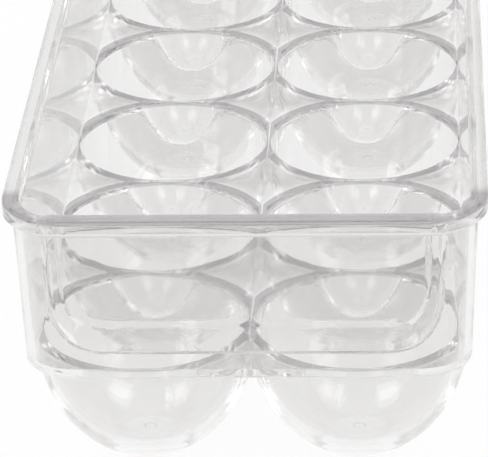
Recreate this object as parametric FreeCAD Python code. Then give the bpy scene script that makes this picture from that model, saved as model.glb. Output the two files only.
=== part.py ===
import FreeCAD, Part
import math
import os

# Egg holder tray: a long clear bin with two columns of egg cups in its deck, a drafted wall with
# rounded corners, a flanged rim, and a finger grip under the rim at each end.
# Millimetres. The length runs along Y, +Z is up, and the origin is at the bottom centre.

# Egg cups
COLUMNS = 2
ROWS = 7
MOUTH_RADIUS = 24.0        # inside of a cup where it opens in the deck
BOWL_DEPTH = 30.2          # from the deck's top down to the inside of a cup's floor
BOWL_WALL = 1.9            # thickness of a cup at its mouth
FLOOR_WALL = 2.0           # thickness of a cup at its foot
FOOT_TRIM = 1.0            # height that the flat foot takes off the round end
FULLNESS = 2.1             # exponent of the bowl's curve: 2 is an ellipse, more is squarer
LAND_ACROSS = 1.0          # deck left between two mouths, across the tray
LAND_ALONG = 1.4           # deck left between two mouths, along the tray
GATE_RADIUS = 1.7          # moulding mark on the floor of each cup
GATE_HEIGHT = 0.3

# Deck and walls
DECK_THICK = 2.0
DECK_EDGE_ROUND = 0.8
WALL_THICK = 1.8
WALL_LAND = 0.3            # deck left between a mouth and the wall beside it
WALL_HEIGHT = 38.0         # from the deck's top to the rim's top
WALL_LEAN = 1.4            # how far each wall leans out over that height
CORNER_RADIUS = 12.0       # outside of a wall corner, at the deck

# Rim
RIM_HEIGHT = 3.2
RIM_OVERHANG = 2.0
RIM_TOP_ROUND = 0.8
RIM_BOTTOM_ROUND = 0.4

# Finger grips, one pressed into each end wall
GRIP_HALF_WIDTH = 43.6
GRIP_RISE = 5.2            # from the deck's top to the grip's lower edge
GRIP_CORNER = 12.0
GRIP_TOP_INSET = 1.6       # from the wall's outer face, level with the rim's top
GRIP_BOTTOM_INSET = 4.1    # from the wall's outer face, level with the grip panel's lower edge
GRIP_SIDE_SLOPE = 2.8      # width of the sloping band at each side
GRIP_FLOOR_SLOPE = 4.4     # height of the sloping band along the bottom
POST_LAND = 0.6            # wall between the grip's rounded boss and a corner post

# Sizes that follow
PITCH_X = 2 * MOUTH_RADIUS + LAND_ACROSS
PITCH_Y = 2 * MOUTH_RADIUS + LAND_ALONG
BOWL_RADIUS = MOUTH_RADIUS + BOWL_WALL
DECK_Z = BOWL_DEPTH + FLOOR_WALL
TOP_Z = DECK_Z + WALL_HEIGHT
RIM_Z = TOP_Z - RIM_HEIGHT
DECK_HALF_X = COLUMNS * PITCH_X / 2 - LAND_ACROSS / 2 + WALL_LAND + WALL_THICK
DECK_HALF_Y = ROWS * PITCH_Y / 2 - LAND_ALONG / 2 + WALL_LAND + WALL_THICK
CORNER_Y = DECK_HALF_Y - CORNER_RADIUS
POST_X = GRIP_HALF_WIDTH + WALL_THICK + POST_LAND

# Working margins of the cutting shapes
REACH = 10.0
PROFILE_POINTS = 10


def vec(x, y, z):
    return FreeCAD.Vector(x, y, z)


def box_between(low, high):
    size = high - low
    return Part.makeBox(size.x, size.y, size.z, low)


def lean_at(z):
    """How far the wall has leaned out at height z, from nothing at the deck's top."""
    return WALL_LEAN * (z - DECK_Z) / WALL_HEIGHT


def rounded_rectangle(half_x, half_y, radius, z):
    """Closed wire: four quarter arcs joined by straight runs."""
    edges = []
    starts = []
    for quarter in range(4):
        start = quarter * math.pi / 2
        middle = start + math.pi / 4
        end = start + math.pi / 2
        centre_x = math.copysign(half_x - radius, math.cos(middle))
        centre_y = math.copysign(half_y - radius, math.sin(middle))
        points = []
        for angle in (start, middle, end):
            point = vec(centre_x + radius * math.cos(angle), centre_y + radius * math.sin(angle), z)
            points.append(point)
        starts.append(points)
    for quarter in range(4):
        here = starts[quarter]
        following = starts[(quarter + 1) % 4]
        edges.append(Part.Arc(*here).toShape())
        edges.append(Part.makeLine(here[2], following[0]))
    return Part.Wire(edges)


def drafted_block(inset, low_z, high_z):
    """Solid inside the wall's outer face moved in by inset, between two heights."""
    wires = []
    for z in (low_z, high_z):
        shift = lean_at(z) - inset
        wires.append(rounded_rectangle(DECK_HALF_X + shift, DECK_HALF_Y + shift, CORNER_RADIUS + shift, z))
    return Part.makeLoft(wires, True, True)


def plate(half_x, half_y, radius, low_z, thickness):
    face = Part.Face(rounded_rectangle(half_x, half_y, radius, low_z))
    return face.extrude(vec(0, 0, thickness))


def edges_at(shape, z):
    """Edges that lie wholly at one height."""
    found = []
    for edge in shape.Edges:
        bounds = edge.BoundBox
        if abs(bounds.ZMin - z) < 1e-6 and abs(bounds.ZMax - z) < 1e-6:
            found.append(edge)
    return found


def bowl(mouth, depth):
    """Solid of revolution whose radius is mouth * (1 - (d / depth) ** n) ** (1 / n) at depth d."""
    points = []
    for step in range(PROFILE_POINTS + 1):
        angle = step * math.pi / 2 / PROFILE_POINTS
        radius = mouth * max(math.cos(angle), 0.0) ** (2 / FULLNESS)
        drop = depth * math.sin(angle) ** (2 / FULLNESS)
        points.append(vec(radius, 0, -drop))
    points[-1] = vec(0, 0, -depth)
    curve = Part.BSplineCurve()
    curve.interpolate(Points=points, InitialTangent=vec(0, 0, -1), FinalTangent=vec(-1, 0, 0))
    centre = vec(0, 0, 0)
    outline = Part.Wire([
        curve.toShape(),
        Part.makeLine(points[-1], centre),
        Part.makeLine(centre, points[0]),
    ])
    return Part.Face(outline).revolve(centre, vec(0, 0, 1), 360)


def cell_box(column, row):
    """The share of the tray that belongs to one cup: half way to its neighbours, or out to the edge."""
    x = (column - (COLUMNS - 1) / 2) * PITCH_X
    y = (row - (ROWS - 1) / 2) * PITCH_Y
    low = vec(x - PITCH_X / 2, y - PITCH_Y / 2, 0)
    high = vec(x + PITCH_X / 2, y + PITCH_Y / 2, DECK_Z)
    if column == 0:
        low.x = -DECK_HALF_X
    if column == COLUMNS - 1:
        high.x = DECK_HALF_X
    if row == 0:
        low.y = -DECK_HALF_Y
    if row == ROWS - 1:
        high.y = DECK_HALF_Y
    return box_between(low, high)


def egg_cup(column, row, deck, outside, inside):
    """One cup with the piece of deck that it hangs from."""
    place = vec((column - (COLUMNS - 1) / 2) * PITCH_X, (row - (ROWS - 1) / 2) * PITCH_Y, DECK_Z)
    outer = outside.translated(place)
    inner = inside.translated(place)
    gate_foot = place - vec(0, 0, BOWL_DEPTH + FLOOR_WALL / 2)
    gate = Part.makeCylinder(GATE_RADIUS, FLOOR_WALL / 2 + GATE_HEIGHT, gate_foot)
    cell = cell_box(column, row)
    return deck.common(cell).fuse(outer.common(cell)).cut(inner).fuse(gate).removeSplitter()


def grip_outline(half_width, low_z, corner, y_at):
    """U-shaped outline with a straight top, on the plane that y_at gives for each height."""
    def on_plane(x, z):
        return vec(x, y_at(z), z)

    bend = corner * (1 - math.cos(math.pi / 4))
    side_z = low_z + corner
    floor_x = half_width - corner
    top_left = on_plane(-half_width, TOP_Z)
    top_right = on_plane(half_width, TOP_Z)
    left = [
        on_plane(-half_width, side_z),
        on_plane(-half_width + bend, low_z + bend),
        on_plane(-floor_x, low_z),
    ]
    right = [
        on_plane(floor_x, low_z),
        on_plane(half_width - bend, low_z + bend),
        on_plane(half_width, side_z),
    ]
    return Part.Wire([
        Part.makeLine(top_left, left[0]),
        Part.Arc(*left).toShape(),
        Part.makeLine(left[2], right[0]),
        Part.Arc(*right).toShape(),
        Part.makeLine(right[2], top_right),
        Part.makeLine(top_right, top_left),
    ])


def grip_block(grow):
    """The hollow of the front finger grip, grown by a wall on its inner side."""
    low_z = DECK_Z + GRIP_RISE - grow
    panel_z = low_z + GRIP_FLOOR_SLOPE
    inset_rate = (GRIP_TOP_INSET - GRIP_BOTTOM_INSET) / (TOP_Z - DECK_Z - GRIP_RISE - GRIP_FLOOR_SLOPE)

    def wall_face(z):
        return -DECK_HALF_Y - lean_at(z)

    def outside(z):
        return wall_face(z) - REACH

    def panel_face(z):
        return wall_face(z) + GRIP_TOP_INSET + inset_rate * (z - TOP_Z) + grow

    half = GRIP_HALF_WIDTH + grow
    corner = GRIP_CORNER + grow
    sections = [
        grip_outline(half, low_z, corner, outside),
        grip_outline(half, low_z, corner, wall_face),
        grip_outline(half - GRIP_SIDE_SLOPE, panel_z, corner - GRIP_SIDE_SLOPE, panel_face),
    ]
    return Part.makeLoft(sections, True, True)


def side_box(side):
    """The straight stretch of one side, between the corners."""
    far = DECK_HALF_X + REACH
    low_x, high_x = sorted((side * PITCH_X / 2, side * far))
    return box_between(vec(low_x, -CORNER_Y, 0), vec(high_x, CORNER_Y, TOP_Z + REACH))


def end_box(end):
    """One end, between its two corner posts."""
    low_y, high_y = sorted((end * CORNER_Y, end * (DECK_HALF_Y + REACH)))
    return box_between(vec(-POST_X, low_y, 0), vec(POST_X, high_y, TOP_Z + REACH))


def corner_box(side, end):
    low_x, high_x = sorted((side * POST_X, side * (DECK_HALF_X + REACH)))
    low_y, high_y = sorted((end * CORNER_Y, end * (DECK_HALF_Y + REACH)))
    return box_between(vec(low_x, low_y, 0), vec(high_x, high_y, TOP_Z + REACH))


def turned(shape, end):
    """The front shape as it is, or turned half round for the back."""
    if end < 0:
        return shape
    return shape.rotated(vec(0, 0, 0), vec(0, 0, 1), 180)


def export(shape, name):
    if not shape.isValid() or not shape.Solids:
        raise ValueError(name + " is not a valid solid")
    solids = shape.Solids
    result = solids[0] if len(solids) == 1 else Part.makeCompound(solids)
    result.exportStep("parts/" + name + ".step")
    print(name, len(solids), round(result.Volume, 1))


def make_cups():
    deck = plate(DECK_HALF_X, DECK_HALF_Y, CORNER_RADIUS, DECK_Z - DECK_THICK, DECK_THICK)
    deck = deck.makeFillet(DECK_EDGE_ROUND, edges_at(deck, DECK_Z - DECK_THICK))
    outside = bowl(BOWL_RADIUS, BOWL_DEPTH + FLOOR_WALL + FOOT_TRIM)
    inside = bowl(MOUTH_RADIUS, BOWL_DEPTH)
    sides = ("left", "right")
    for row in range(ROWS):
        for column in range(COLUMNS):
            cup = egg_cup(column, row, deck, outside, inside)
            export(cup, "egg_cup_" + str(row + 1) + "_" + sides[column])


def make_walls():
    outer = drafted_block(0, DECK_Z, RIM_Z)
    inner = drafted_block(WALL_THICK, DECK_Z - 1, TOP_Z + 1)
    ring = outer.cut(inner)
    boss = grip_block(WALL_THICK)
    hollow = grip_block(0)
    grip = outer.common(boss).cut(hollow)
    for side, side_name in ((-1, "left"), (1, "right")):
        export(ring.common(side_box(side)), "side_wall_" + side_name)
        for end, end_name in ((-1, "front"), (1, "back")):
            export(ring.common(corner_box(side, end)), "corner_wall_" + end_name + "_" + side_name)
    for end, end_name in ((-1, "front"), (1, "back")):
        frame = ring.common(end_box(-1)).cut(boss)
        export(turned(frame, end), "end_wall_" + end_name)
        export(turned(grip, end), "finger_grip_" + end_name)


def make_rim():
    reach = WALL_LEAN + RIM_OVERHANG
    flange = plate(DECK_HALF_X + reach, DECK_HALF_Y + reach, CORNER_RADIUS + reach, RIM_Z, RIM_HEIGHT)
    flange = flange.makeFillet(RIM_TOP_ROUND, edges_at(flange, TOP_Z))
    flange = flange.makeFillet(RIM_BOTTOM_ROUND, edges_at(flange, RIM_Z))
    inner = drafted_block(WALL_THICK, DECK_Z - 1, TOP_Z + 1)
    ring = flange.cut(inner)
    bar_back = grip_block(WALL_THICK).common(drafted_block(0, RIM_Z, TOP_Z))
    for side, side_name in ((-1, "left"), (1, "right")):
        export(ring.common(side_box(side)), "side_rim_" + side_name)
        for end, end_name in ((-1, "front"), (1, "back")):
            export(ring.common(corner_box(side, end)), "rim_corner_" + end_name + "_" + side_name)
    for end, end_name in ((-1, "front"), (1, "back")):
        bar = ring.common(end_box(-1)).fuse(bar_back).removeSplitter()
        export(turned(bar, end), "handle_bar_" + end_name)


os.makedirs("parts", exist_ok=True)
make_cups()
make_walls()
make_rim()
print("pitch", PITCH_X, PITCH_Y, "deck", DECK_Z, "top", TOP_Z)
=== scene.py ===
# %% [markdown]
# # A clear egg tray, worked out as surfaces
# The real tray is one clear plastic moulding: two columns of round egg cups that hang from a thin
# deck, a wall that leans out a little all the way round, a rim, and a finger grip pressed into
# each end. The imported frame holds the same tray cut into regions, one solid each, and it says
# where everything is. This script makes the outside that the eye sees, from formulas.

# %% Load the frame
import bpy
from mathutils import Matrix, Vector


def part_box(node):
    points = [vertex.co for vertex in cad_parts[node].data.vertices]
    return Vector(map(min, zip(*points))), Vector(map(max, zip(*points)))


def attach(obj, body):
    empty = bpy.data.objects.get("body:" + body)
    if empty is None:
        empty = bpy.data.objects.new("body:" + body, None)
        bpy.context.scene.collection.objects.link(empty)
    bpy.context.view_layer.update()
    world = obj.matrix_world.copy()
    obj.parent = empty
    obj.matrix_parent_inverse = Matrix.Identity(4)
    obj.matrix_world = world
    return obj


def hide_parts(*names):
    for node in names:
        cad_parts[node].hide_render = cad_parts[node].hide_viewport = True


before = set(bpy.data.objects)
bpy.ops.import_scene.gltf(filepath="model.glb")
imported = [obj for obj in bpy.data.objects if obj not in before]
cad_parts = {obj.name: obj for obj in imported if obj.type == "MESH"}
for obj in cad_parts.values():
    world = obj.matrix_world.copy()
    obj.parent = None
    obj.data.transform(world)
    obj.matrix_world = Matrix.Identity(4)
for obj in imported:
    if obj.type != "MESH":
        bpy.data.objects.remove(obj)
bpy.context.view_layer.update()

import math

import bmesh
import bpy
import numpy as np
from mathutils import Matrix, Vector

# %% [markdown]
# ## Sizes
# Places and overall sizes are read from the frame's boxes, so this model can't drift away from
# the solids. Only what a box can't tell, such as a wall's thickness or the shape of a bowl's
# curve, is named here.

# %% Sizes of the tray
MM = 0.001
MOUTH_RADIUS = 24.0 * MM
BOWL_DEPTH = 30.2 * MM
BOWL_RADIUS = 25.9 * MM
BOWL_REACH = 33.2 * MM
FULLNESS = 2.1
WALL_THICK = 1.8 * MM
WALL_LAND = 0.3 * MM
DECK_THICK = 2.0 * MM

cup_low, cup_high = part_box("egg_cup_2_right")
first_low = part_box("egg_cup_1_right")[0]
rim_low, rim_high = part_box("side_rim_right")
wall_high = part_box("side_wall_right")[1]
grip_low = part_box("finger_grip_front")[0]

ROWS = sum(name.startswith("egg_cup_") and name.endswith("_right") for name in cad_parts)
PITCH_Y = cup_high.y - cup_low.y
DECK_Z = cup_high.z
HALF_X = cup_high.x
HALF_Y = -first_low.y
CUP_X = HALF_X - WALL_THICK - WALL_LAND - MOUTH_RADIUS
CORNER_Y = rim_high.y
CORNER_RADIUS = HALF_Y - CORNER_Y
CORNER_X = HALF_X - CORNER_RADIUS
RIM_Z = rim_low.z
TOP_Z = rim_high.z
RIM_OUT = rim_high.x - HALF_X
LEAN_RATE = (wall_high.x - HALF_X) / (wall_high.z - DECK_Z)
print("cup centre x:", round(CUP_X / MM, 2), "mm")
print("rows:", ROWS, "every", round(PITCH_Y / MM, 2), "mm")

# %% [markdown]
# ## Walking round the wall
# A wall with rounded corners is easiest to describe by two numbers: how far one has walked along
# it from the middle of an end, and how far out one stands from its foot. Only a quarter of the
# walk needs a formula: straight, then a quarter circle, then straight again. Signs make the other
# three quarters.

# %% A quarter of the way round
ARC_LENGTH = CORNER_RADIUS * math.pi / 2
SIDE_START = CORNER_X + ARC_LENGTH


def quarter_point(along, out):
    """Straight to the corner, then centre plus (radius + out) times (sine, cosine) of the angle
    walked, then straight down the side. Returns x and the distance from the middle row."""
    angle = np.clip((along - CORNER_X) / CORNER_RADIUS, 0, math.pi / 2)
    reach = CORNER_RADIUS + out
    x = np.minimum(along, CORNER_X) + reach * np.sin(angle)
    y = CORNER_Y + reach * np.cos(angle) - np.maximum(along - SIDE_START, 0)
    return x, y


print("corner radius:", round(CORNER_RADIUS / MM, 2), "mm")
print("walk to the straight side:", round(SIDE_START / MM, 2), "mm")

# %% [markdown]
# The stops of the walk are close together where the surface bends: round the corner, and where
# the finger grip's edge comes. Along the side they fan out evenly from each cup, because a cup's
# bowl and the wall share those stops.

# %% Stops along the walk
GRIP_HALF = 43.5 * MM
GRIP_CORNER = 12.0 * MM
GRIP_BEND = GRIP_HALF - GRIP_CORNER
EDGE_START = GRIP_HALF - 4.8 * MM
EDGE_STOP = GRIP_HALF + 1.8 * MM
FAN_STEPS = 16


def fan(steps):
    """Tangents of evenly spaced angles between -45 and 45 degrees: the share of half a side."""
    return np.tan(np.linspace(-math.pi / 4, math.pi / 4, steps + 1))


panel_stops = np.linspace(0, GRIP_BEND, 9)
bend_stops = np.linspace(GRIP_BEND, EDGE_START, 6)[1:]
edge_stops = np.linspace(EDGE_START, EDGE_STOP, 13)[1:]
corner_stops = np.linspace(EDGE_STOP, SIDE_START, 9)[1:]
end_stops = np.concatenate([panel_stops, bend_stops, edge_stops, corner_stops])

row_y = (np.arange(ROWS) - (ROWS - 1) / 2) * PITCH_Y
last_y = row_y[-1]
half_fan = FAN_STEPS // 2
short_side = np.linspace(CORNER_Y, last_y, 5)[1:]
side_y = [short_side, last_y - PITCH_Y / 2 * fan(FAN_STEPS)[half_fan + 1:]]
for y in row_y[ROWS // 2 + 1:-1][::-1]:
    side_y.append(y - PITCH_Y / 2 * fan(FAN_STEPS)[1:])
side_y.append(-PITCH_Y / 2 * fan(FAN_STEPS)[1:half_fan + 1])
side_stops = SIDE_START + CORNER_Y - np.concatenate(side_y)
quarter_stops = np.concatenate([end_stops, side_stops])

forward = quarter_stops[:-1]
backward = quarter_stops[:0:-1]
along = np.concatenate([forward, backward, forward, backward])
sign_x = np.repeat([1, 1, -1, -1], len(forward))
sign_y = np.repeat([-1, 1, 1, -1], len(forward))
print("stops round the tray:", len(along))

# %% [markdown]
# ## The finger grip
# Each end wall is pressed in under the rim, so that fingers fit behind the bar. Its outline is a
# U with round lower corners. A grid of straight lines can't follow a round corner, so the grid
# itself is bent: near the corner, squares round the bend's centre become circles round it, and
# further out they turn back into squares.

# %% Bend the grid round the grip's corners
GRIP_FOOT = grip_low.z + WALL_THICK - DECK_Z
BEND_HOLD = 1.2
BEND_FREE = 1.4


def bend_grid(a, b):
    """With s and t the distances past the bend's centre, a point goes to the circle of radius
    max(s, t), at 45 degrees times t / s (or its mirror). Outside the grip this fades out."""
    s = a - GRIP_BEND
    t = (GRIP_FOOT + GRIP_CORNER) - b
    size = np.maximum(np.maximum(s, t), 1e-9)
    inside = (s > 0) & (t > 0)
    angle = np.where(s >= t, t / size, 2 - s / size) * math.pi / 4
    share = np.clip((BEND_FREE - size / GRIP_CORNER) / (BEND_FREE - BEND_HOLD), 0, 1) * inside
    new_s = s + share * (size * np.cos(angle) - s)
    new_t = t + share * (size * np.sin(angle) - t)
    outside_angle = np.where(t > s, math.pi / 2, 0)
    return a + new_s - s, b - (new_t - t), np.where(inside, angle, outside_angle)


print("grip's foot above the deck:", round(GRIP_FOOT / MM, 2), "mm")

# %% [markdown]
# The panel leans: it is pressed in least under the bar and most at its foot, where fingertips
# need the room. A band of eased slope joins it to the flat frame round it. The inside follows the
# outside, moved out a little, so that the wall keeps its thickness on the slope.

# %% How deep the grip is pressed in
GRIP_TOP_INSET = 1.6 * MM
GRIP_LOW_INSET = 4.1 * MM
SIDE_SLOPE = 3.2 * MM
FLOOR_SLOPE = 4.4 * MM
INNER_SHIFT = 1.3 * MM
INSET_LIMIT = 1.2
EASE = 0.1


def eased(t):
    """Goes from 0 to 1 at a steady slope, with a short parabola (share EASE) at either end."""
    t = np.clip(t, 0, 1)
    slope = 1 / (1 - EASE)
    bend = slope / (2 * EASE)
    middle = slope * (t - EASE / 2)
    late = np.where(t > 1 - EASE, 1 - bend * (1 - t) ** 2, middle)
    return np.where(t < EASE, bend * t ** 2, late)


def pressed(a, b, angle, shift):
    """How much of the full inset a point has: an eased ramp over the sloping band."""
    inward = np.minimum(GRIP_HALF - a, b - GRIP_FOOT) + shift
    band = SIDE_SLOPE + (FLOOR_SLOPE - SIDE_SLOPE) * angle / (math.pi / 2)
    return eased(inward / band)


def full_inset(height):
    """Inset of the leaning panel: a straight line from its top to its foot, and on a little."""
    panel_foot = GRIP_FOOT + FLOOR_SLOPE
    share = (TOP_Z - DECK_Z - height) / (TOP_Z - DECK_Z - panel_foot)
    return GRIP_TOP_INSET + (GRIP_LOW_INSET - GRIP_TOP_INSET) * np.clip(share, 0, INSET_LIMIT)


def wall_row(b, inner):
    """One line round the wall at nominal height b above the deck, bent round the grips, leaning
    out in step with its height, and pressed in towards the middle of the tray at the grips. A
    fourth number says how much of the grip's panel the point is."""
    a, height, angle = bend_grid(along, np.full_like(along, b))
    out = LEAN_RATE * height - (WALL_THICK if inner else 0)
    x, y = quarter_point(a, out)
    share = pressed(along, b, angle, INNER_SHIFT if inner else 0)
    y = y - full_inset(height) * share
    return np.stack([sign_x * x, sign_y * y, DECK_Z + height, share], axis=-1)


def plain_row(out, z):
    """One line round the tray at a set distance out from the wall's foot, and one height."""
    x, y = quarter_point(along, out)
    flat = np.zeros_like(x)
    return np.stack([sign_x * x, sign_y * y, flat + z, flat], axis=-1)


print("deepest press of the panel:", round(GRIP_LOW_INSET / MM, 2), "mm")

# %% [markdown]
# ## The wall and the rim as one profile
# The profile starts under the deck's edge, climbs the outside of the wall, goes round the rim and
# comes down the inside to the deck. Carried along the walk it gives one sheet.

# %% Heights of the lines on the wall
wall_height = RIM_Z - DECK_Z
full_height = TOP_Z - DECK_Z
ramp = GRIP_FOOT + FLOOR_SLOPE
bend_height = GRIP_FOOT + GRIP_CORNER
outer_heights = np.concatenate([
    np.linspace(0, GRIP_FOOT, 5),
    np.linspace(GRIP_FOOT, ramp, 9)[1:],
    np.linspace(ramp, bend_height, 5)[1:],
    np.linspace(bend_height, wall_height, 6)[1:],
])
inner_low = GRIP_FOOT - INNER_SHIFT
inner_heights = np.concatenate([
    np.linspace(0, inner_low, 4),
    np.linspace(inner_low, ramp, 11)[1:],
    np.linspace(ramp, bend_height, 5)[1:],
    np.linspace(bend_height, full_height, 7)[1:],
])

print("lines up the wall:", len(outer_heights), "outside and", len(inner_heights), "inside")

# %% [markdown]
# The rim stands out past the wall as a small lip. A mould can't make a knife edge, so each edge
# is a quarter circle of a few points. They are written as pairs: distance out, height.

# %% The rim's rounded edges
RIM_TOP_ROUND = 0.4 * MM
RIM_LOW_ROUND = 0.2 * MM
INNER_ROUND = 0.25 * MM
LIP_LINE = 0.3 * MM


def rounded(out, z, radius, start, steps):
    """Quarter circle of (distance out, height) pairs, anticlockwise from the start angle."""
    angles = np.radians(start) + np.linspace(0, math.pi / 2, steps + 1)
    return [(out + radius * math.cos(t), z + radius * math.sin(t)) for t in angles]


low_corner = rounded(RIM_OUT - RIM_LOW_ROUND, RIM_Z + RIM_LOW_ROUND, RIM_LOW_ROUND, -90, 2)
top_corner = rounded(RIM_OUT - RIM_TOP_ROUND, TOP_Z - RIM_TOP_ROUND, RIM_TOP_ROUND, 0, 4)
wall_line = LEAN_RATE * full_height
across_top = [(wall_line + LIP_LINE, TOP_Z), (wall_line, TOP_Z)]
rim_rows = [plain_row(out, z) for out, z in low_corner + top_corner + across_top]
print("lines round the rim:", len(rim_rows))

# %% [markdown]
# The deck's lower edge is rounded too. The bowls reach almost to the wall's face, so the radius
# is worked out for each stop of the walk, and is large only where the bowls leave room.

# %% The deck's lower edge
EDGE_ROUND = 0.8 * MM
EDGE_LEAST = 0.1 * MM
NUDGE = 1e-9
UNDER_Z = DECK_Z - DECK_THICK
UNDER_RADIUS = BOWL_RADIUS * (1 - (DECK_THICK / BOWL_REACH) ** FULLNESS) ** (1 / FULLNESS)


def nearest_cup(x, y):
    """Centre of the cup whose share of the tray holds the point."""
    row = np.clip(np.round(y / PITCH_Y + (ROWS - 1) / 2), 0, ROWS - 1).astype(int)
    return np.where(x >= 0, CUP_X, -CUP_X), row_y[row]


foot_x, foot_y = quarter_point(along, 0)
near_x, near_y = nearest_cup(sign_x * foot_x + sign_x * NUDGE, sign_y * foot_y)
room = np.hypot(sign_x * foot_x - near_x, sign_y * foot_y - near_y) - UNDER_RADIUS - EDGE_LEAST
edge_round = np.clip(room, EDGE_LEAST, EDGE_ROUND)
edge_rows = []
for turn in np.radians([-90, -60, -30, 0]):
    out = edge_round * (math.cos(turn) - 1)
    edge_rows.append(plain_row(out, UNDER_Z + edge_round * (1 + math.sin(turn))))
print("edge radius, mm:", round(edge_round.min() / MM, 2), "to", round(edge_round.max() / MM, 2))

# %% [markdown]
# The lines are stacked in the order in which the profile meets them. The rim's inner edge is
# rounded here, because at the grips it is pressed in with the wall.

# %% The whole sheet
inner_edge = wall_row(full_height, True)
inner_edge[:, 3] = 0
outward = plain_row(1 * MM, TOP_Z) - plain_row(0, TOP_Z)
outward = outward / np.linalg.norm(outward, axis=1, keepdims=True)
half_way = INNER_ROUND * (1 - math.sqrt(0.5))
inner_top = inner_edge + outward * INNER_ROUND
inner_mid = inner_edge + outward * half_way
inner_mid[:, 2] -= half_way
inner_side = inner_edge - [0, 0, INNER_ROUND, 0]
outer_rows = [wall_row(b, False) for b in outer_heights[1:]]
inner_rows = [wall_row(b, True) for b in inner_heights[-2::-1]]
round_rows = [inner_top, inner_mid, inner_side]
wall_sheet = np.stack(edge_rows + outer_rows + rim_rows + round_rows + inner_rows)
print("wall and rim:", wall_sheet.shape[0], "lines of", wall_sheet.shape[1], "points")

# %% [markdown]
# ## The cups and their deck
# Each cup owns the deck half way to its neighbours. Seen from above, its surface is a set of
# rings: from the floor's middle up the bowl to the mouth, and across the deck to the edge of its
# share. Seen from below it is another such set. Where two bowls meet under the deck they are cut
# off half way, which leaves the U-shaped web between them.

# %% The bowl's curve
def bowl_radius(depth, mouth, reach):
    """mouth * (1 - (depth / reach) ** n) ** (1 / n): an ellipse with slightly fuller shoulders."""
    return mouth * np.clip(1 - (depth / reach) ** FULLNESS, 0, 1) ** (1 / FULLNESS)


def bowl_depth(radius, mouth, reach):
    """The same curve, read the other way."""
    return reach * np.clip(1 - (radius / mouth) ** FULLNESS, 0, 1) ** (1 / FULLNESS)


def bowl_turn(radius, mouth):
    """Angle whose cosine, to the power 2 / n, is the radius over the mouth's."""
    return np.arccos(np.clip(radius / mouth, 0, 1) ** (FULLNESS / 2))


def bowl_at(turn, mouth, reach):
    """Radius and depth for an angle: cosine and sine to the power 2 / n."""
    power = 2 / FULLNESS
    return mouth * np.cos(turn) ** power, reach * np.sin(turn) ** power


half_down = bowl_radius(BOWL_DEPTH / 2, MOUTH_RADIUS, BOWL_DEPTH)
print("bowl's radius half way down:", round(float(half_down) / MM, 2), "mm")

# %% [markdown]
# The rings of the inside start at the floor's middle, where the plastic came into the mould and
# left a small raised ring. They are even in angle up the bowl, and end with the mouth's edge.

# %% Rings of the inside, with the moulding mark and the mouth's edge
GATE_RADII = np.array([0, 0.9, 1.2, 1.45, 1.7, 2.1]) * MM
GATE_RISE = np.array([0, 0, 0.18, 0.3, 0.16, 0]) * MM
MOUTH_ROUND = 0.2 * MM
SIDE_FROM = 3.4 * MM
LAST_TURN = 0.1
BOWL_RINGS = 15
NEAR_MOUTH = np.array([0.9, 0.7, 0.2]) * MM

gate_depths = bowl_depth(GATE_RADII, MOUTH_RADIUS, BOWL_DEPTH) - GATE_RISE
start_turn = bowl_turn(SIDE_FROM, MOUTH_RADIUS)
turns = np.linspace(start_turn, LAST_TURN, BOWL_RINGS)
side_radii, side_depths = bowl_at(turns, MOUTH_RADIUS, BOWL_DEPTH)
near_radii = bowl_radius(NEAR_MOUTH, MOUTH_RADIUS, BOWL_DEPTH)
lip_angles = np.radians([150, 120, 90])
lip_radii = MOUTH_RADIUS + MOUTH_ROUND * (1 + np.cos(lip_angles))
lip_depths = MOUTH_ROUND * (1 - np.sin(lip_angles))
inside_radii = np.concatenate([GATE_RADII, side_radii, near_radii, lip_radii])
inside_depths = np.concatenate([gate_depths, side_depths, NEAR_MOUTH, lip_depths])
print("rings inside a cup:", len(inside_radii))

# %% [markdown]
# Neighbouring cups share straight lines of the deck, and both must put the same points there, or
# the skin would have gaps. The points are close together across the web, where the bowls meet.

# %% The edge of a cup's share
WEB_STEPS = 8
FAR_STEPS = 6


def web_stops(half_side, half_width):
    """Distances from a side's middle, both ways: close together across the web, where the bowl
    meets the line between two cups, and even beyond it."""
    web = math.sqrt(UNDER_RADIUS ** 2 - half_width ** 2)
    near = web * np.sin(np.linspace(0, math.pi / 2, WEB_STEPS + 1))
    far = np.linspace(web, half_side, FAR_STEPS + 1)[1:]
    one_way = np.concatenate([near, far])
    return np.concatenate([-one_way[:0:-1], one_way])


across = web_stops(CUP_X, PITCH_Y / 2)
lengthwise = web_stops(PITCH_Y / 2, CUP_X)
print("points on a shared line:", len(across), "across and", len(lengthwise), "lengthwise")


def stretched(stops, low, high):
    """The stops, with the even part beyond the web stretched to new ends."""
    distance = np.abs(stops)
    web = np.sort(distance)[-(2 * FAR_STEPS + 1)]
    beyond = np.clip((distance - web) / (distance.max() - web), 0, 1)
    end = np.where(stops < 0, -low, high)
    return np.where(distance > web, np.sign(stops) * (web + beyond * (end - web)), stops)


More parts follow.
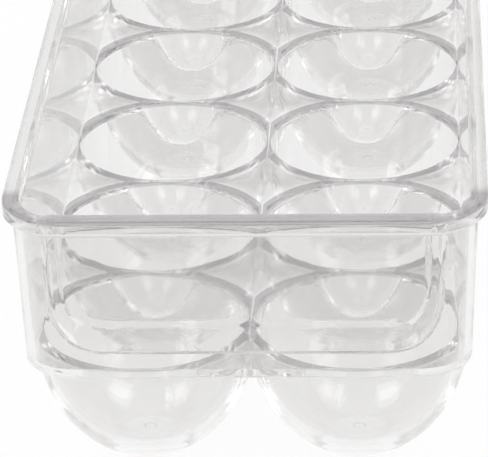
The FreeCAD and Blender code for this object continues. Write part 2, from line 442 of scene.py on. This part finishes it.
def share_edge(side, row, outer_xy):
    """Closed line round a cup's share, anticlockwise: its stretch of the wall's line, then the
    straight sides that it has in common with its neighbours."""
    centre = np.array([side * CUP_X, row_y[row]])
    edge_x = np.abs(outer_xy[:, 0]).max()
    edge_y = np.abs(outer_xy[:, 1]).max()
    low_y = -edge_y if row == 0 else centre[1] - PITCH_Y / 2
    high_y = edge_y if row == ROWS - 1 else centre[1] + PITCH_Y / 2
    xs = centre[0] + side * stretched(across, -CUP_X, edge_x - CUP_X)
    ys = centre[1] + stretched(lengthwise, low_y - centre[1], high_y - centre[1])
    inward_x = xs[::-1]
    parts = [outer_xy]
    middle_line = np.stack([np.zeros_like(ys), ys], axis=1)
    front_line = np.stack([inward_x, np.full_like(inward_x, low_y)], axis=1)
    back_line = np.stack([inward_x, np.full_like(inward_x, high_y)], axis=1)
    if side > 0:
        if row < ROWS - 1:
            parts.append(back_line[1:])
        parts.append(middle_line[::-1][1:])
        if row > 0:
            parts.append(front_line[::-1][1:])
    else:
        if row > 0:
            parts.append(front_line[1:])
        parts.append(middle_line[1:])
        if row < ROWS - 1:
            parts.append(back_line[::-1][1:])
    return np.concatenate(parts)[:-1]


# %% [markdown]
# With two columns, every cup also stands at the wall and owns a stretch of its line. The line is
# cut half way between two cups.

# %% Which stretch of wall belongs to which cup
def stop_number(x, y):
    """The stop of the walk nearest a point."""
    return int(np.argmin(np.hypot(sign_x * foot_x - x, sign_y * foot_y - y)))


line_y = row_y[:-1] + PITCH_Y / 2
cuts = [0] + [stop_number(HALF_X, y) for y in line_y]
cuts += [stop_number(0, HALF_Y)] + [stop_number(-HALF_X, y) for y in line_y[::-1]]
cuts += [len(along)]
owners = [(1, row) for row in range(ROWS)] + [(-1, row) for row in reversed(range(ROWS))]
print("stretches of wall:", np.diff(cuts))

# %% [markdown]
# A cup's two sheets are polar grids: a direction for each point of the edge, and a radius for
# each ring. Where two bowls meet, a small quarter circle softens the crease between them.

# %% Sheets of one cup, seen from above and from below
UNDER_RINGS = 13
WEB_ROUND = 0.5 * MM
UNDER_ROUND = 0.4 * MM
RING_FADE = 0.12 * MM
OUTER_REACH = 0.997
# the band of painted shade round each mouth reaches out to this radius
PAINTED_RING_RADIUS = BOWL_RADIUS + 0.8 * MM
foot_depth = DECK_Z
foot_radius = bowl_radius(foot_depth, BOWL_RADIUS, BOWL_REACH)
foot_radii = foot_radius * np.array([0, 0.5, 0.9, 1])
neck_radius = bowl_radius(DECK_THICK + UNDER_ROUND, BOWL_RADIUS, BOWL_REACH)
quarter = np.linspace(0, math.pi / 2, 5)[1:, None]


def under_depth(radius, width):
    """Depth of the bowl's outside, then of the quarter ellipse that joins it to the deck."""
    to_flat = np.clip((neck_radius + width - radius) / width, 0, 1)
    joint = DECK_THICK + UNDER_ROUND * (1 - np.sqrt(1 - to_flat ** 2))
    return np.where(radius > neck_radius, joint, bowl_depth(radius, BOWL_RADIUS, BOWL_REACH))


def upper_sheet(centre, edge):
    """Rings of the inside carried round the centre, half way over the deck, and the edge."""
    offset = edge - centre
    length = np.hypot(offset[:, 0], offset[:, 1])
    heading = offset / length[:, None]
    ring_end = np.minimum(PAINTED_RING_RADIUS - RING_FADE, length - 2 * RING_FADE)
    ring_out = np.minimum(PAINTED_RING_RADIUS, length - RING_FADE)
    flat = np.stack([ring_end, ring_out, (ring_out + length) / 2, length])
    inside = np.repeat(inside_radii[:, None], len(edge), axis=1)
    radius = np.concatenate([inside, flat])
    depth = np.concatenate([inside_depths, np.zeros(len(flat))])
    z = np.repeat(DECK_Z - depth[:, None], len(edge), axis=1)
    xy = centre + radius[..., None] * heading
    return np.concatenate([xy, z[..., None]], axis=2)


def lower_sheet(centre, edge, shared):
    """Flat foot, then the bowl's outside, then the joint with the deck, then, where another cup
    is near, a quarter circle up to the line between them, and the edge."""
    offset = edge - centre
    length = np.hypot(offset[:, 0], offset[:, 1])
    heading = offset / length[:, None]
    near = np.maximum(np.abs(offset[:, 0]) / CUP_X, np.abs(offset[:, 1]) / (PITCH_Y / 2))
    half_pitch = np.where(np.abs(offset[:, 0]) / CUP_X >= near, CUP_X, PITCH_Y / 2)
    room = length * np.where(shared, 1 - WEB_ROUND / half_pitch, OUTER_REACH)
    low_turn = bowl_turn(foot_radius, BOWL_RADIUS)
    share = np.linspace(0, 1, UNDER_RINGS + 1)[1:, None]
    turn = low_turn + (bowl_turn(np.minimum(neck_radius, room), BOWL_RADIUS) - low_turn) * share
    bowl = bowl_at(turn, BOWL_RADIUS, BOWL_REACH)[0]
    width = np.where(shared, UNDER_ROUND, np.minimum(UNDER_ROUND, room - neck_radius))
    joint = np.minimum(neck_radius + width * (1 - np.cos(quarter)), room)
    web = room + (length - room) * (1 - np.cos(quarter))
    foot = np.repeat(foot_radii[:, None], len(edge), axis=1)
    radius = np.concatenate([foot, bowl, joint, web])
    start = under_depth(room, width)
    rise = np.where(shared, np.minimum(WEB_ROUND, start - DECK_THICK), 0)
    web_depth = start - rise * np.sin(quarter)
    side_depth = under_depth(np.concatenate([bowl, joint]), width)
    depth = np.concatenate([np.full_like(foot, foot_depth), side_depth, web_depth])
    xy = centre + radius[..., None] * heading
    return np.concatenate([xy, (DECK_Z - depth)[..., None]], axis=2)


# %% [markdown]
# ## Joining the sheets
# All the sheets are grids of points, so the faces between them are worked out with whole arrays.
# The sheets share their edge points, and merging those makes one closed skin, as the moulding is.

# %% Faces of a grid that closes on itself
points = []
quads = []
painted_shade_shares = []
panels = []


def add_grid(grid, flip, depth, panel=None):
    """Faces join each point to the next round the ring and to the next ring. The depth says for
    each ring, or each point, how much painted shade goes there, from 0 to 1: a darker base colour
    standing for the long way light goes inside the plastic."""
    rings, count = grid.shape[:2]
    painted_shade_shares.append((depth + np.zeros((rings, count))).ravel())
    panels.append(np.zeros(rings * count) if panel is None else panel.ravel())
    first = sum(len(block) for block in points)
    number = first + np.arange(rings * count).reshape(rings, count)
    following = np.roll(number, -1, axis=1)
    corners = [number[:-1], following[:-1], following[1:], number[1:]]
    quad = np.stack(corners, axis=-1).reshape(-1, 4)
    points.append(grid.reshape(-1, 3))
    quads.append(quad[:, ::-1] if flip else quad)


# %% [markdown]
# Seen from above, the rim looks grey where light would have to come up through the whole height
# of the wall. That grey is painted shade, a darker base colour laid on the rim. It is deepest on
# the handle bars and round the corners, less so on the inner part of a corner and on the rim's
# face, and hardly at all along the sides. The numbers are shares of the deepest painted shade.

# %% Painted shade on the rim
TOP_SHADE = 0.97
SIDE_SHADE = 0.25
SIDE_FADE = 4.0 * MM
ROUND_SHARE = 0.9
FACE_SHARE = 0.2
INNER_LESS = 0.25
BEND_START = 0.5
BEND_RANGE = 0.25

corner_turn = np.clip((along - CORNER_X) / CORNER_RADIUS, 0, math.pi / 2)
in_corner = np.clip((np.sin(2 * corner_turn) - BEND_START) / BEND_RANGE, 0, 1)
past_corner = np.clip((along - SIDE_START) / SIDE_FADE, 0, 1)
over_lip = TOP_SHADE * (1 - (1 - SIDE_SHADE) * past_corner)
over_wall = over_lip * (1 - INNER_LESS * in_corner)

rim_painted_shade = np.zeros(wall_sheet.shape[:2])
rim_start = len(edge_rows) + len(outer_rows)
face_start = rim_start + 1
top_start = rim_start + len(low_corner)
top_flat = top_start + len(top_corner)
# painted shade shares on the rim's face, its rounded top edge, its top and its inner edge
rim_painted_shade[face_start:top_start + 1] = over_lip * FACE_SHARE
rim_painted_shade[top_start + 1:top_flat - 1] = over_lip * ROUND_SHARE
rim_painted_shade[top_flat - 1:top_flat + 1] = over_lip
rim_painted_shade[top_flat + 1:top_flat + 4] = over_wall
add_grid(wall_sheet[:, :, :3], False, rim_painted_shade, wall_sheet[:, :, 3])
print("greyest point of the rim:", round(float(rim_painted_shade.max()), 2))

# %% [markdown]
# The same goes for a cup: painted shade greys its bowl on the ring round the mouth, where light
# would have to come up through the bowl's wall, less so on the lip inside it, and a little on the
# moulding mark. At the ends of the tray the end wall lets more light in, which takes a share off
# the ring. The deck between four cups has their walls all round it, so that web gets a little
# painted shade as well, and less so by the tray's wall.

# %% Add the cups
RING_SHADE = 0.85
LIP_SHADE = 0.6
GATE_SHADE = 0.35
END_LIGHT = 0.35
WEB_SHADE = 0.36
BY_WALL = 0.42
WEB_START = 1.03 * CUP_X
WEB_FADE = 0.15 * CUP_X
FACING_START = 0.2
FACING_RANGE = 0.6
gate_start = 2
mouth_start = len(GATE_RADII) + BOWL_RINGS + 1
lip_start = len(inside_radii) - 1

upper_line = wall_sheet[-1, :, :2]
lower_line = wall_sheet[0, :, :2]
for (side, row), start, stop in zip(owners, cuts[:-1], cuts[1:]):
    centre = np.array([side * CUP_X, row_y[row]])
    stretch = np.arange(start, stop + 1) % len(along)
    upper = upper_sheet(centre, share_edge(side, row, upper_line[stretch]))
    lower_edge = share_edge(side, row, lower_line[stretch])
    shared = np.arange(len(lower_edge)) >= len(stretch)
    lower = lower_sheet(centre, lower_edge, shared)
    facing = (upper[-1, :, 1] - centre[1]) * np.sign(row - (ROWS - 1) / 2) / PITCH_Y * 2
    at_end = np.clip(facing - FACING_START, 0, FACING_RANGE) / FACING_RANGE
    at_end = at_end * (row in (0, ROWS - 1))
    # painted shade: darker base colour on the moulding mark, the lip, the ring round the mouth and
    # the web
    cup_painted_shade = np.zeros(upper.shape[:2])
    cup_painted_shade[gate_start:gate_start + 2] = GATE_SHADE
    cup_painted_shade[mouth_start:lip_start] = LIP_SHADE
    cup_painted_shade[lip_start:len(inside_radii) + 1] = RING_SHADE * (1 - END_LIGHT * at_end)
    reach = np.hypot(upper[-1, :, 0] - centre[0], upper[-1, :, 1] - centre[1])
    web_share = np.clip((reach - WEB_START) / WEB_FADE, 0, 1)
    cup_painted_shade[-2:] = WEB_SHADE * web_share * np.where(shared, 1, BY_WALL)
    add_grid(upper, True, cup_painted_shade)
    add_grid(lower, False, 0)
print("grids added:", len(points))

all_points = np.concatenate(points)
all_quads = np.concatenate(quads)
# painted shade shares for every point, carried on the mesh as an attribute
all_painted_shade = np.concatenate(painted_shade_shares)
all_panels = np.concatenate(panels)
print("points:", len(all_points), "faces:", len(all_quads))

# %% [markdown]
# BMesh merges the points that two sheets share and takes out the faces that closed up to nothing.
# Counting the edges that don't have two faces shows whether the skin is closed.

# %% One closed mesh
MERGE = 2e-6
SHARP_ANGLE = math.radians(34)


def closed_mesh(name, points, quads, **values):
    """Mesh from the arrays, with points nearer than MERGE made one and empty faces taken out."""
    mesh = bpy.data.meshes.new(name)
    mesh.from_pydata(points.tolist(), [], quads.tolist())
    for key, value in values.items():
        mesh.attributes.new(key, "FLOAT", "POINT").data.foreach_set("value", value)
    work = bmesh.new()
    work.from_mesh(mesh)
    bmesh.ops.remove_doubles(work, verts=work.verts, dist=MERGE)
    bmesh.ops.dissolve_degenerate(work, dist=MERGE / 2, edges=work.edges)
    open_edges = sum(len(edge.link_faces) != 2 for edge in work.edges)
    volume = work.calc_volume(signed=True) / (10 * MM) ** 3
    print(name, "faces:", len(work.faces), "open edges:", open_edges, "cm3:", round(volume, 2))
    work.to_mesh(mesh)
    work.free()
    mesh.polygons.foreach_set("use_smooth", np.ones(len(mesh.polygons), bool))
    mesh.set_sharp_from_angle(angle=SHARP_ANGLE)
    return mesh


tray_mesh = closed_mesh(
    "moulded_tray", all_points, all_quads, light_depth=all_painted_shade, grip_panel=all_panels)
tray = bpy.data.objects.new("moulded_tray", tray_mesh)
bpy.context.scene.collection.objects.link(tray)

# %% [markdown]
# ## Clear plastic
# Clear polystyrene is glass-like: it bends light a little more than window glass, is very smooth,
# and only its deep edges look grey. Full transmission on a Principled shader gives the clearness,
# because a matt share would darken the long paths of light inside the walls. The grey of the deep
# edges is painted shade: the base colour is darkened by shade shares laid on the mesh, and the
# grip's panel is painted a little darker than the rest. A mould leaves slow ripples, finer on the
# grip's panel, so the roughness and the bump follow soft noise. Light passes through the tray to
# the table: a Light Path switch lets a shadow ray see plain transparency.

# %% Clear plastic material
PLASTIC_INDEX = 1.57
BODY_COLOUR = (0.893, 0.89, 0.886, 1)
# painted shade: the grip's pressed-in panel is a little darker than the body
PANEL_PAINTED_SHADE_COLOUR = (0.855, 0.851, 0.847, 1)
# painted shade: the deep grey that the base colour darkens to on the rim, the mouth rings and the
# webs
PAINTED_SHADE_COLOUR = (0.21, 0.195, 0.208, 1)
SHADOW_COLOUR = (0.93, 0.93, 0.94, 1)
SMOOTHEST = 0.015
ROUGHEST = 0.05
PANEL_ROUGH = 0.035
ROUGH_SCALE = 45
RIPPLE_SCALE = 28
PANEL_RIPPLE_SCALE = 140
RIPPLE_HEIGHT = 0.6 * MM
RIPPLE_STRENGTH = 0.12


def new_material(name):
    material = bpy.data.materials.new(name)
    material.use_nodes = True
    material.node_tree.nodes.clear()
    return material, material.node_tree.nodes, material.node_tree.links


def clear_plastic():
    material, nodes, links = new_material("clear_plastic")
    output = nodes.new("ShaderNodeOutputMaterial")
    shader = nodes.new("ShaderNodeBsdfPrincipled")
    shader.inputs["Transmission Weight"].default_value = 1.0
    shader.inputs["IOR"].default_value = PLASTIC_INDEX
    place = nodes.new("ShaderNodeTexCoord")

    def attribute(name):
        node = nodes.new("ShaderNodeAttribute")
        node.attribute_name = name
        return node.outputs["Fac"]

    def noise(scale, detail):
        node = nodes.new("ShaderNodeTexNoise")
        node.inputs["Scale"].default_value = scale
        node.inputs["Detail"].default_value = detail
        links.new(place.outputs["Object"], node.inputs["Vector"])
        return node.outputs["Fac"]

    def blend(value, first, second, kind="RGBA"):
        """A Mix node has sockets for each kind of data: 2 and 3 are numbers, 6 and 7 colours."""
        node = nodes.new("ShaderNodeMix")
        node.data_type = kind
        low, high, result = (6, 7, 2) if kind == "RGBA" else (2, 3, 0)
        links.new(value, node.inputs[0])
        for number, given in ((low, first), (high, second)):
            if isinstance(given, bpy.types.NodeSocket):
                links.new(given, node.inputs[number])
            else:
                node.inputs[number].default_value = given
        return node.outputs[result]

    # painted shade: where the grip's panel is, the base colour goes to the panel's darker grey
    body = blend(attribute("grip_panel"), BODY_COLOUR, PANEL_PAINTED_SHADE_COLOUR)
    # painted shade: the mesh's shade shares darken the base colour towards the deep grey
    with_painted_shade = blend(attribute("light_depth"), body, PAINTED_SHADE_COLOUR)
    links.new(with_painted_shade, shader.inputs["Base Color"])
    smooth = blend(noise(ROUGH_SCALE, 3), SMOOTHEST, ROUGHEST, "FLOAT")
    rough = blend(attribute("grip_panel"), smooth, PANEL_ROUGH, "FLOAT")
    links.new(rough, shader.inputs["Roughness"])
    slow = noise(RIPPLE_SCALE, 1)
    fine = noise(PANEL_RIPPLE_SCALE, 1)
    bump = nodes.new("ShaderNodeBump")
    bump.inputs["Distance"].default_value = RIPPLE_HEIGHT
    bump.inputs["Strength"].default_value = RIPPLE_STRENGTH
    links.new(blend(attribute("grip_panel"), slow, fine, "FLOAT"), bump.inputs["Height"])
    links.new(bump.outputs["Normal"], shader.inputs["Normal"])
    through = nodes.new("ShaderNodeBsdfTransparent")
    through.inputs["Color"].default_value = SHADOW_COLOUR
    path = nodes.new("ShaderNodeLightPath")
    mix = nodes.new("ShaderNodeMixShader")
    links.new(path.outputs["Is Shadow Ray"], mix.inputs["Fac"])
    links.new(shader.outputs["BSDF"], mix.inputs[1])
    links.new(through.outputs["BSDF"], mix.inputs[2])
    links.new(mix.outputs["Shader"], output.inputs["Surface"])
    return material


tray.data.materials.append(clear_plastic())
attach(tray, "root")
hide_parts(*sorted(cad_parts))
print("the moulding stands for", len(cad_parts), "nodes")

# %% [markdown]
# ## The table
# A pale sheet runs under the tray. It shows its own white to the eye and to light that has come
# through the plastic, and keeps part of the tray's shadow.

# %% Pale floor
FLOOR_SIZE = 6.0
FLOOR_COLOUR = (0.86, 0.86, 0.86, 1)
SHOWN_WHITE = 0.9


def floor_material():
    material, nodes, links = new_material("pale_sheet")
    output = nodes.new("ShaderNodeOutputMaterial")
    plain = nodes.new("ShaderNodeBsdfDiffuse")
    plain.inputs["Color"].default_value = FLOOR_COLOUR
    glow = nodes.new("ShaderNodeEmission")
    glow.inputs["Color"].default_value = (1, 1, 1, 1)
    path = nodes.new("ShaderNodeLightPath")
    seen = path.outputs["Is Camera Ray"]
    for ray in ("Is Transmission Ray", "Is Glossy Ray"):
        either = nodes.new("ShaderNodeMath")
        either.operation = "ADD"
        either.use_clamp = True
        links.new(seen, either.inputs[0])
        links.new(path.outputs[ray], either.inputs[1])
        seen = either.outputs[0]
    share = nodes.new("ShaderNodeMath")
    share.operation = "MULTIPLY"
    share.inputs[1].default_value = SHOWN_WHITE
    links.new(seen, share.inputs[0])
    mix = nodes.new("ShaderNodeMixShader")
    links.new(share.outputs[0], mix.inputs["Fac"])
    links.new(plain.outputs["BSDF"], mix.inputs[1])
    links.new(glow.outputs["Emission"], mix.inputs[2])
    links.new(mix.outputs["Shader"], output.inputs["Surface"])
    return material


floor_mesh = bpy.data.meshes.new("floor")
half = FLOOR_SIZE / 2
floor_corners = [(-half, -half, 0), (half, -half, 0), (half, half, 0), (-half, half, 0)]
floor_mesh.from_pydata(floor_corners, [], [(0, 1, 2, 3)])
floor = bpy.data.objects.new("floor", floor_mesh)
floor.data.materials.append(floor_material())
bpy.context.scene.collection.objects.link(floor)
print("floor:", FLOOR_SIZE, "m square")

# %% [markdown]
# ## Light
# Clear things are drawn by what they mirror and bend. The room is white behind and at the sides,
# and a little darker on the camera's side, so the edges of the plastic have something to show.
# Two soft boxes above the sides give the bright patches on the fronts of the cups, and two low
# ones at the front corners give those inside the cups.

# %% Room and lamps
DARK_SIDE = 0.8
DARK_FROM = -0.6
WHITE_FROM = 0.1
ROOM_COLOUR = (1.0, 0.995, 0.985, 1)
BOWL_AIM = (0, -0.12, 0.03)
LOW_AIM = (0, -0.08, 0.04)


def studio_world():
    world = bpy.data.worlds.new("studio")
    bpy.context.scene.world = world
    world.use_nodes = True
    nodes, links = world.node_tree.nodes, world.node_tree.links
    nodes.clear()
    output = nodes.new("ShaderNodeOutputWorld")
    background = nodes.new("ShaderNodeBackground")
    place = nodes.new("ShaderNodeTexCoord")
    split = nodes.new("ShaderNodeSeparateXYZ")
    ramp = nodes.new("ShaderNodeMapRange")
    ramp.interpolation_type = "SMOOTHSTEP"
    ramp.inputs["From Min"].default_value = DARK_FROM
    ramp.inputs["From Max"].default_value = WHITE_FROM
    ramp.inputs["To Min"].default_value = DARK_SIDE
    ramp.inputs["To Max"].default_value = 1.0
    links.new(place.outputs["Generated"], split.inputs["Vector"])
    links.new(split.outputs["Y"], ramp.inputs["Value"])
    path = nodes.new("ShaderNodeLightPath")
    shown = nodes.new("ShaderNodeMix")
    shown.data_type = "FLOAT"
    links.new(path.outputs["Is Camera Ray"], shown.inputs[0])
    links.new(ramp.outputs["Result"], shown.inputs[2])
    shown.inputs[3].default_value = 1.0
    links.new(shown.outputs[0], background.inputs["Strength"])
    background.inputs["Color"].default_value = ROOM_COLOUR
    links.new(background.outputs["Background"], output.inputs["Surface"])


def soft_box(name, place, aim, width, height, power):
    """A lit rectangle in metres and watts, turned so that its face looks at the aim."""
    lamp = bpy.data.lights.new(name, "AREA")
    lamp.shape = "RECTANGLE"
    lamp.size = width
    lamp.size_y = height
    lamp.energy = power
    lamp_object = bpy.data.objects.new(name, lamp)
    lamp_object.location = place
    lamp_object.rotation_euler = (Vector(aim) - Vector(place)).to_track_quat("-Z", "Y").to_euler()
    bpy.context.scene.collection.objects.link(lamp_object)
    print(name, "at", place, "power:", power, "W")


studio_world()
soft_box("box_left", (-0.62, -0.2, 1.0), BOWL_AIM, 0.55, 0.5, 1.7)
soft_box("box_right", (0.62, -0.2, 1.0), BOWL_AIM, 0.55, 0.5, 1.7)
soft_box("low_box_left", (-0.84, -0.86, 0.41), LOW_AIM, 0.5, 0.75, 1.9)
soft_box("low_box_right", (0.85, -0.8, 0.49), LOW_AIM, 0.5, 0.55, 1.4)

# %% [markdown]
# ## Camera
# A long lens from above the front end, turned a little to the left and leaning a little.

# %% Camera
LENS = 247.1
YAW = math.radians(3.44)
PITCH = math.radians(25.87)
ROLL = math.radians(1.77)
EYE = Vector((40.0 * MM, row_y[0] - 684.0 * MM, DECK_Z + 355.0 * MM))

level = math.cos(PITCH)
ahead = Vector((-math.sin(YAW) * level, math.cos(YAW) * level, -math.sin(PITCH)))
right = Vector((math.cos(YAW), math.sin(YAW), 0))
down = ahead.cross(right)
rolled_right = right * math.cos(ROLL) + down * math.sin(ROLL)
rolled_down = down * math.cos(ROLL) - right * math.sin(ROLL)
camera_data = bpy.data.cameras.new("camera")
camera_data.lens = LENS
camera_data.clip_start = 0.05
camera = bpy.data.objects.new("camera", camera_data)
facing_axes = Matrix((rolled_right, -rolled_down, -ahead)).transposed()
camera.matrix_world = Matrix.Translation(EYE) @ facing_axes.to_4x4()
bpy.context.scene.collection.objects.link(camera)
bpy.context.scene.camera = camera
print("camera at", [round(value, 3) for value in EYE], "m")

# %% [markdown]
# ## View and light paths
# Light that is caught inside a clear wall bounces many times before it gets out. A path that is
# cut short counts as black, so the limits are high. A bounce off the inside counts as glossy.

# %% Plain view, long light paths
BOUNCES = 64

scene = bpy.context.scene
scene.view_settings.view_transform = "Standard"
scene.cycles.max_bounces = BOUNCES
scene.cycles.transmission_bounces = BOUNCES
scene.cycles.glossy_bounces = BOUNCES
